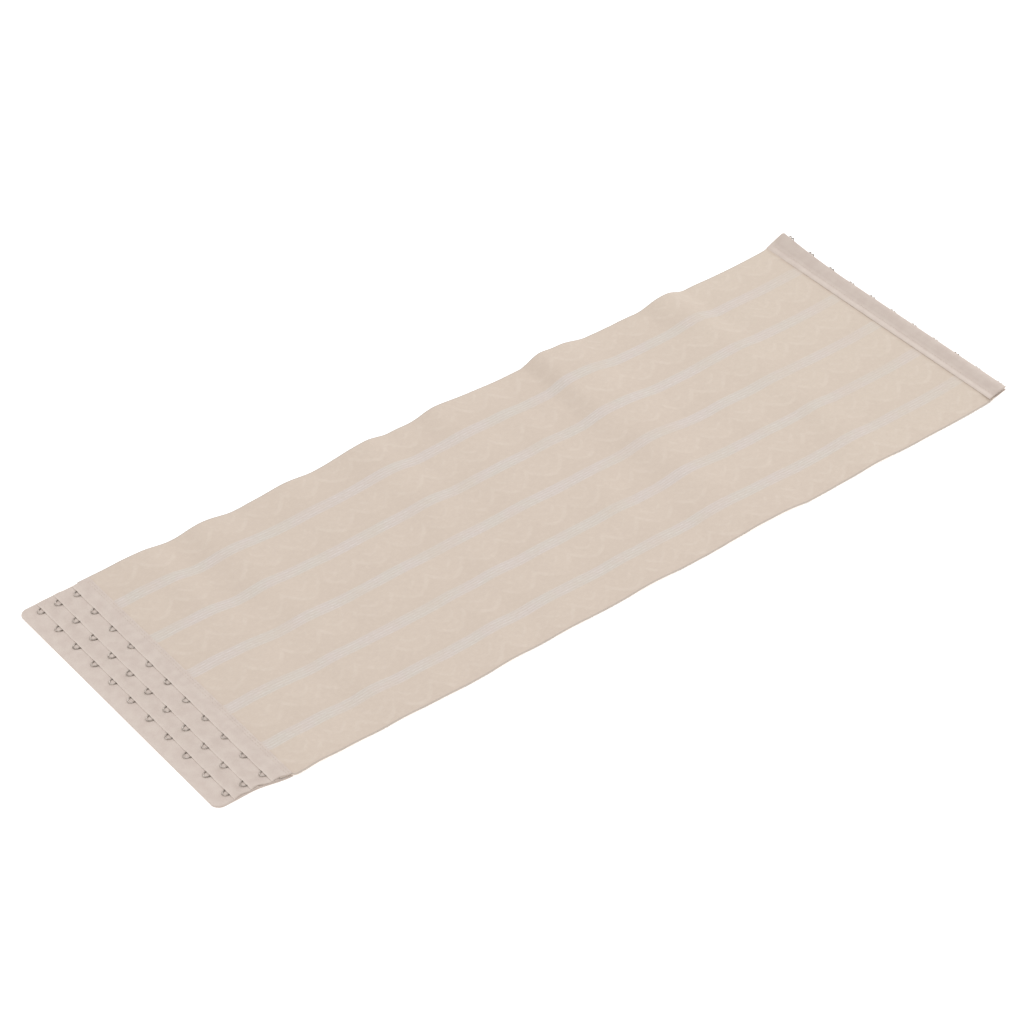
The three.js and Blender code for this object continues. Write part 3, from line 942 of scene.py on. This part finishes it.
class Material:
    """A node material with a Principled shader, and the numbers that drive it."""

    def __init__(self, name):
        self.material = bpy.data.materials.new(name)
        self.material.use_nodes = True
        self.tree = self.material.node_tree
        self.shader = self.tree.nodes["Principled BSDF"]

    def cloth(self):
        """The place on the flat cloth in millimetres, along and across, and how pale a tape is there."""
        node = self.tree.nodes.new("ShaderNodeAttribute")
        node.attribute_name = "cloth"
        split = self.tree.nodes.new("ShaderNodeSeparateXYZ")
        self.tree.links.new(node.outputs["Vector"], split.inputs[0])
        self.place = node.outputs["Vector"]
        return [Number(self.tree, output) for output in split.outputs]

    def attribute(self, name):
        node = self.tree.nodes.new("ShaderNodeAttribute")
        node.attribute_name = name
        return Number(self.tree, node.outputs["Fac"])

    def noise(self, place, size, detail=2.0, stretch=(1.0, 1.0, 1.0)):
        """Noise from 0 to 1 whose blotches are about size across, in the units of place."""
        mapping = self.tree.nodes.new("ShaderNodeMapping")
        mapping.inputs["Scale"].default_value = [s / size for s in stretch]
        self.tree.links.new(place, mapping.inputs["Vector"])
        node = self.tree.nodes.new("ShaderNodeTexNoise")
        node.inputs["Scale"].default_value = 1.0
        node.inputs["Detail"].default_value = detail
        self.tree.links.new(mapping.outputs[0], node.inputs["Vector"])
        return Number(self.tree, node.outputs["Fac"])

    def mixed(self, first, second, factor):
        """A colour between two colours, given as (r, g, b) or as a socket."""
        node = self.tree.nodes.new("ShaderNodeMix")
        node.data_type = "RGBA"
        for socket, colour in ((node.inputs[6], first), (node.inputs[7], second)):
            if isinstance(colour, tuple):
                socket.default_value = (*colour, 1.0)
            else:
                self.tree.links.new(colour, socket)
        if isinstance(factor, Number):
            self.tree.links.new(factor.value, node.inputs[0])
        else:
            node.inputs[0].default_value = factor
        return node.outputs[2]

    def colour(self, socket):
        self.tree.links.new(socket, self.shader.inputs["Base Color"])

    def bump(self, height, distance, strength):
        node = self.tree.nodes.new("ShaderNodeBump")
        node.inputs["Strength"].default_value = strength
        node.inputs["Distance"].default_value = distance
        self.tree.links.new(height.value, node.inputs["Height"])
        self.tree.links.new(node.outputs[0], self.shader.inputs["Normal"])

    def finish(self, roughness, specular, sheen=0.0, sheen_roughness=0.5, metallic=0.0):
        for name, value in (
            ("Roughness", roughness),
            ("Specular IOR Level", specular),
            ("Sheen Weight", sheen),
            ("Sheen Roughness", sheen_roughness),
            ("Metallic", metallic),
        ):
            self.shader.inputs[name].default_value = value
        return self.material


def linear(red, green, blue):
    """A colour as seen on a screen, 0 to 255, as the light it stands for."""
    return tuple(((c / 255 + 0.055) / 1.055) ** 2.4 for c in (red, green, blue))


# Colours of the elastic
GROUND_DEEP = linear(207.2, 191.9, 178.2)
GROUND_LIGHT = linear(211.3, 196.4, 182.2)
GROUND_AT_HOOKS = linear(209.5, 196, 181)
UNDER_SCALLOP = linear(205, 189.5, 175.5)
MOTIF = linear(219, 206, 193)
FLECK_LIGHT = linear(221, 207, 194)
FLECK_DARK = linear(198, 182, 169)
RIB_GREENISH = linear(213, 206.5, 198)
RIB_PINKISH = linear(216, 205, 201)
RIB_GROOVE = linear(202.5, 191, 180.5)
RIB_GLINT = linear(228, 221, 216)
THREAD_GAP = linear(192, 176, 163)
# Shade painted along the long edges, where the cloth rolls down to the floor
EDGE_SHADE = linear(176, 166, 159)
SEAM_SHADE = linear(190, 172, 155)
# Colours of the tapes, the thread, the wire and the floor
TAPE_DEEP = linear(204.5, 190, 181)
TAPE_LIGHT = linear(211.5, 198.5, 189)
TAPE_FUZZ = linear(190, 174, 164)
# Tape colours for where the cloth is painted paler, as with painted highlights, and for painted shade
TAPE_PALE = linear(224, 212, 202)
TAPE_SHADE = linear(176, 162, 152)
THREAD_DEEP = linear(205, 190, 178)
THREAD_LIGHT = linear(222, 209, 197)
WIRE_GREY = linear(150, 140, 132)
WIRE_BRIGHT = linear(212, 203, 195)
# Painted shade on the eyes' wire where it goes under the lip; the hooks are darkened with it evenly
WIRE_DARKENED = linear(98, 87, 78)
FLOOR_DEEP = linear(246, 246, 246)
FLOOR_LIGHT = linear(248, 248, 248)
# Where the stripes start and fade, and where the ground changes, along the panel
STRIPES_FROM = 40.0
STRIPES_FULL = 46.0
STRIPES_FADE = SEAM - 150
HOOK_GROUND = (SEAM - 190, SEAM - 40)
SEAM_SHADE_SPAN = (SEAM - 2.8, SEAM - 0.2)
WEAVE_PITCH = (0.62, 0.5)
KNIT_PITCH = (0.7, 0.55)
CLOTH_BUMP = 0.0001


def elastic_material():
    m = Material("woven_elastic")
    along, across, _ = m.cloth()
    band = (across - FIRST_STRIPE).wrapped(STRIPE_PITCH)
    off = abs((across - (FIRST_STRIPE - STRIPE_PITCH / 2)).wrapped(STRIPE_PITCH) - STRIPE_PITCH / 2)
    place = abs((along - (SCALLOP_PHASE - SCALLOP_PITCH / 2)).wrapped(SCALLOP_PITCH) - SCALLOP_PITCH / 2)
    stripe = off.ramp(STRIPE_WIDTH / 2 + 0.5, STRIPE_WIDTH / 2 - 0.7)
    ribs = off.wave(RIB_PITCH)

    def line(bottom, depth, width, power, thickness):
        share = place * (2 / width)
        curve = bottom - share**power * depth
        slope = share ** (power - 1) * (depth * power * 2 / width)
        distance = abs(band - curve) / (slope * slope + 1).made("SQRT")
        return distance.ramp(thickness / 2 + 0.6, thickness / 2 - 0.6) * share.ramp(1.1, 1.02)

    scallop = line(SCALLOP_BOTTOM, SCALLOP_DEPTH, SCALLOP_PITCH, SCALLOP_POWER, SCALLOP_LINE)
    garland = line(GARLAND_BOTTOM, GARLAND_DEPTH, GARLAND_WIDTH, GARLAND_POWER, GARLAND_LINE)
    motif = scallop.most(garland)
    share = place * (2 / SCALLOP_PITCH)
    below = (band - (SCALLOP_BOTTOM - share**SCALLOP_POWER * SCALLOP_DEPTH)).ramp(0.0, 2.0)
    thread = m.noise(m.place, 0.9, 2.0, (0.5, 1.0, 1.0))
    yarn = m.noise(m.place, 1.5, 2.0, (0.4, 1.0, 1.0))
    flecks = m.noise(m.place, 3.2, 3.0)
    patches = m.noise(m.place, 9.0, 2.0)
    blotch = m.noise(m.place, 60.0, 3.0)
    ground = m.mixed(GROUND_DEEP, GROUND_LIGHT, blotch)
    ground = m.mixed(ground, GROUND_AT_HOOKS, along.ramp(*HOOK_GROUND) * 0.5)
    ground = m.mixed(ground, UNDER_SCALLOP, below * 0.35)
    ground = m.mixed(ground, MOTIF, motif * patches.ramp(0.35, 0.62) * 0.34)
    ground = m.mixed(ground, FLECK_LIGHT, flecks.ramp(0.5, 0.72) * 0.22)
    ground = m.mixed(ground, FLECK_DARK, flecks.ramp(0.48, 0.3) * 0.16)
    tints = m.noise(m.place, 22.0, 2.0).ramp(0.4, 0.6)
    ribbed = m.mixed(RIB_GREENISH, RIB_PINKISH, tints)
    ribbed = m.mixed(RIB_GROOVE, ribbed, ribs * 0.45 + yarn * 0.55)
    ribbed = m.mixed(ribbed, RIB_GLINT, (ribs * yarn).ramp(0.45, 0.7) * 0.4)
    worn = m.noise(m.place, 16.0, 3.0, (0.6, 1.0, 1.0)).ramp(0.25, 0.6)
    starting = along.ramp(STRIPES_FROM, STRIPES_FULL) * 0.5 + 0.5
    fading = (along.ramp(SEAM, STRIPES_FADE) * 0.28 + 0.72) * starting
    ground = m.mixed(ground, ribbed, stripe * (worn * 0.45 + 0.55) * fading)
    ground = m.mixed(ground, THREAD_GAP, thread.ramp(0.62, 0.35) * 0.14)
    # Painted shade along both long edges, where the cloth rolls down to the floor
    far_edge_shade = across.ramp(EDGE_SHADE_WIDTH + 0.3, EDGE_SHADE_WIDTH - 0.3)
    from_near = PANEL_WIDTH - across
    near_edge_shade = from_near.ramp(0.0, 0.3) * from_near.ramp(1.1, 0.7)
    ground = m.mixed(ground, EDGE_SHADE, far_edge_shade.most(near_edge_shade) * 0.65)
    ground = m.mixed(ground, SEAM_SHADE, along.ramp(*SEAM_SHADE_SPAN) * 0.3)
    m.colour(ground)
    weave = along.wave(WEAVE_PITCH[0]) * across.wave(WEAVE_PITCH[1])
    height = weave * 0.5 + thread * 0.8 + motif * 0.3 + stripe * ribs * 0.6
    m.bump(height, CLOTH_BUMP, 0.5)
    return m.finish(0.88, 0.25, sheen=0.15, sheen_roughness=0.5)


def tape_material():
    m = Material("brushed_tape")
    along, across, pale = m.cloth()
    fuzz = m.noise(m.place, 0.5, 4.0)
    blotch = m.noise(m.place, 7.0, 4.0)
    ground = m.mixed(TAPE_DEEP, TAPE_LIGHT, blotch.ramp(0.3, 0.7))
    ground = m.mixed(ground, TAPE_FUZZ, fuzz.ramp(0.6, 0.3) * 0.25)
    # Paler where pale is over 0, as with the painted highlights on folds, and painted shade where it is
    # under 0
    ground = m.mixed(ground, TAPE_PALE, pale * 0.6)
    ground = m.mixed(ground, TAPE_SHADE, pale * -0.6)
    m.colour(ground)
    knit = along.wave(KNIT_PITCH[0]) * 0.5 + across.wave(KNIT_PITCH[1]) * 0.5
    m.bump(knit * 0.5 + fuzz, CLOTH_BUMP, 0.5)
    return m.finish(0.95, 0.2, sheen=0.3, sheen_roughness=0.45)


def thread_material():
    m = Material("sewing_thread")
    node = m.tree.nodes.new("ShaderNodeTexCoord")
    twist = m.noise(node.outputs["Object"], 0.0004, 2.0)
    m.colour(m.mixed(THREAD_DEEP, THREAD_LIGHT, twist))
    m.bump(twist, 0.00005, 0.4)
    return m.finish(0.7, 0.3, sheen=0.1)


def wire_material():
    m = Material("steel_wire")
    node = m.tree.nodes.new("ShaderNodeTexCoord")
    wear = m.noise(node.outputs["Object"], 0.002, 3.0)
    darkening = m.attribute("darkening")
    bright = m.mixed(WIRE_GREY, WIRE_BRIGHT, wear.ramp(0.3, 0.7))
    # Shade is painted where an eye's wire goes under its lip, and the hooks are darkened evenly
    m.colour(m.mixed(bright, WIRE_DARKENED, darkening * 0.8))
    rough = wear * 0.25 + 0.25
    m.tree.links.new(rough.value, m.shader.inputs["Roughness"])
    m.bump(wear, 0.00003, 0.3)
    return m.finish(0.35, 0.5, metallic=1.0)


def floor_material():
    m = Material("pale_floor")
    node = m.tree.nodes.new("ShaderNodeTexCoord")
    grain = m.noise(node.outputs["Object"], 0.05, 2.0)
    m.colour(m.mixed(FLOOR_DEEP, FLOOR_LIGHT, grain))
    m.shader.inputs["Emission Color"].default_value = (1.0, 1.0, 1.0, 1.0)
    m.shader.inputs["Emission Strength"].default_value = 0.45
    return m.finish(0.9, 0.1)


# Assembly
def dress(thing, material, slot, *nodes):
    thing.data.materials.clear()
    thing.data.materials.append(material)
    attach(thing, "root")
    if nodes:
        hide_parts(*nodes)
    return thing


elastic = elastic_material()
tape = tape_material()
thread = thread_material()
metal = wire_material()

panel = dress(make_panel(), elastic, "elastic_panel", "panel")
eye_base = dress(make_eye_base(), tape, "tape_cloth", "eye_tape_base")
pile = Pile(EYE_TAPE_WIDTH, 0.0, EYE_TAPE_FAR)
pile.height[:] = BASE_THICKNESS
flaps, eye_wires, eye_darkening = [], [], []
for column in COLUMNS:
    if column == "inner":
        panel_end = pile.x > EYE_TAPE_WIDTH - PANEL_UNDER_FLAP
        pile.raise_to(panel_end, BASE_THICKNESS + TOUCH + PANEL_THICKNESS)
    wires, darkening = lay_eyes(column, pile)
    eye_wires += wires
    eye_darkening += darkening
    flaps.append(dress(make_flap(column, pile), tape, "tape_cloth", "eye_flap_" + column))
hook_under, hook_top = [
    dress(make_hook_tape(node, radius), tape, "tape_cloth", node)
    for node, radius in (("hook_tape_under", HOOK_UNDER_EDGE), ("hook_tape_top", HOOK_TOP_EDGE))
]

rows = range(1, ROWS + 1)
eye_names = [f"eye_{column}_{row:02d}" for column in COLUMNS for row in rows]
eyes = dress(joined("wire_eyes", eye_wires), metal, "wire", *eye_names)
keep_darkening(eyes, np.concatenate(eye_darkening))
hooks = joined("wire_hooks", [hook_wire(row) for row in rows])
keep_darkening(hooks, np.full(len(hooks.data.vertices), HOOK_DARKENING))
dress(hooks, metal, "wire", *[f"hook_{row:02d}" for row in rows])

inner_flap = tree_of(flaps[COLUMNS.index("inner")])
seam_stitches = []
for inset in FLAP_ROWS:
    x = EYE_TAPE_WIDTH - inset
    row_ends = (x, FLAP_ROW_ENDS[0]), (x, EYE_TAPE_FAR - FLAP_ROW_ENDS[1])
    seam_stitches += stitch_row(*row_ends, FLAP_THREAD, inner_flap)
hook_row = [(seam_x(v) + HOOK_ROW, v) for v in (HOOK_ROW_ENDS[0], hook_tape_far() - HOOK_ROW_ENDS[1])]
seam_stitches += stitch_row(*hook_row, HOOK_THREAD, tree_of(hook_top))
stitches = dress(joined("seam_stitches", seam_stitches), thread, "tape_cloth")

# Floor, light and camera
FLOOR_HALF = 6
FLOOR_BELOW = 0.0002
WORLD_STRENGTH = 0.92
floor_mesh = bpy.data.meshes.new("floor")
corners = [(FLOOR_HALF * i, FLOOR_HALF * j, 0) for i, j in ((-1, -1), (1, -1), (1, 1), (-1, 1))]
floor_mesh.from_pydata(corners, [], [(0, 1, 2, 3)])
floor = bpy.data.objects.new("floor", floor_mesh)
floor.location.z = -FLOOR_BELOW
bpy.context.scene.collection.objects.link(floor)
floor.data.materials.append(floor_material())

world = bpy.data.worlds.new("studio")
bpy.context.scene.world = world
world.use_nodes = True
background = world.node_tree.nodes["Background"]
background.inputs["Color"].default_value = (1.0, 1.0, 1.0, 1.0)
background.inputs["Strength"].default_value = WORLD_STRENGTH


def area_light(name, place, size, power):
    """A round lamp that faces the middle of the binder."""
    light = bpy.data.lights.new(name, "AREA")
    light.shape = "DISK"
    light.size = size
    light.energy = power
    lamp = bpy.data.objects.new(name, light)
    lamp.location = place
    lamp.rotation_euler = (-Vector(place)).to_track_quat("-Z", "Y").to_euler()
    bpy.context.scene.collection.objects.link(lamp)


area_light("key", place=(1.9, 0.7, 1.7), size=1.4, power=14.0)
area_light("fill", place=(-0.8, -2.0, 1.4), size=2.0, power=6.0)

# The photograph's camera, placed from the far eye of the outer column
eye_low, eye_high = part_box("eye_outer_01")
EYE_BEHIND_APEX = 2.4 * MM
EYE_PLANE = 2.7 * MM
eye_place = Vector((eye_low.x + EYE_BEHIND_APEX, (eye_low.y + eye_high.y) / 2, EYE_PLANE))
CAMERA_FROM_EYE = Vector((-0.8283, -1.5129, 1.5727))
TARGET_FROM_EYE = Vector((0.2738, -0.1005, 0.0))
FOCAL_LENGTH_PIXELS = 3932.93
PHOTO_WIDTH_PIXELS = 1024
camera_data = bpy.data.cameras.new("photo_camera")
camera_data.sensor_width = 36.0
camera_data.lens = FOCAL_LENGTH_PIXELS / PHOTO_WIDTH_PIXELS * camera_data.sensor_width
camera_data.clip_end = 50.0
camera = bpy.data.objects.new("photo_camera", camera_data)
camera.location = eye_place + CAMERA_FROM_EYE
camera.rotation_euler = (TARGET_FROM_EYE - CAMERA_FROM_EYE).to_track_quat("-Z", "Y").to_euler()
bpy.context.scene.collection.objects.link(camera)
bpy.context.scene.camera = camera

bpy.context.scene.view_settings.view_transform = "Standard"
bpy.context.scene.view_settings.look = "None"

bpy.context.view_layer.update()
